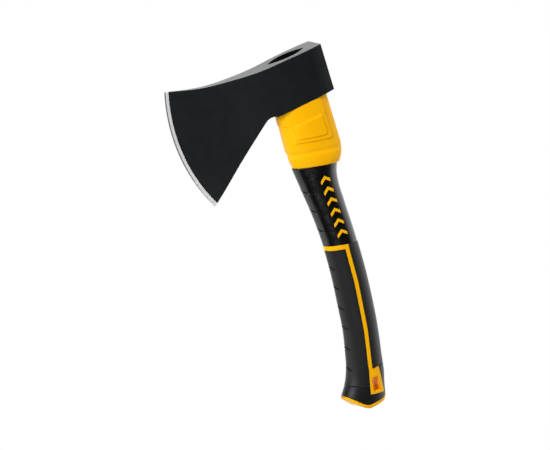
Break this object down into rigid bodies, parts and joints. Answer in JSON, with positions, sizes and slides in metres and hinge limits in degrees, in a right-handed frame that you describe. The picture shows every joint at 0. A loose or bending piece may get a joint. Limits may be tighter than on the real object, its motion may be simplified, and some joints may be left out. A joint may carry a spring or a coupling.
{
  "type": "hand axe",
  "caption": "One-handed axe: forged steel head with an arced cutting edge and flat poll, on a moulded two-colour handle with rubber grips, a collar below the head and a lanyard hole.",
  "frame": {"origin": "middle of the grip, on the handle's symmetry plane", "axes": "+Z along the handle to the head, +X from the cutting edge to the poll, +Y to the axe's other side"},
  "size_m": [0.1788, 0.0322, 0.3835],
  "materials": {
    "black_steel": "satin black coating over forged steel, ground bare along the edge",
    "black_resin": "cast epoxy",
    "fibreglass": "pultruded rod",
    "yellow_plastic": "moulded, satin",
    "glossy_black_plastic": "moulded, glossy",
    "black_rubber": "fine grained thermoplastic rubber",
    "black_plastic": "moulded, satin"
  },
  "bodies": {
    "root": {"axe_head": "black_steel", "eye_resin": "black_resin", "fibreglass_core": "fibreglass", "overstrike_collar": "yellow_plastic", "handle_body": "yellow_plastic", "neck_sleeve": "glossy_black_plastic", "front_grip": "black_rubber", "back_grip": "black_rubber", "butt_shell": "black_plastic", "butt_plate": "yellow_plastic"}
  },
  "joints": []
}
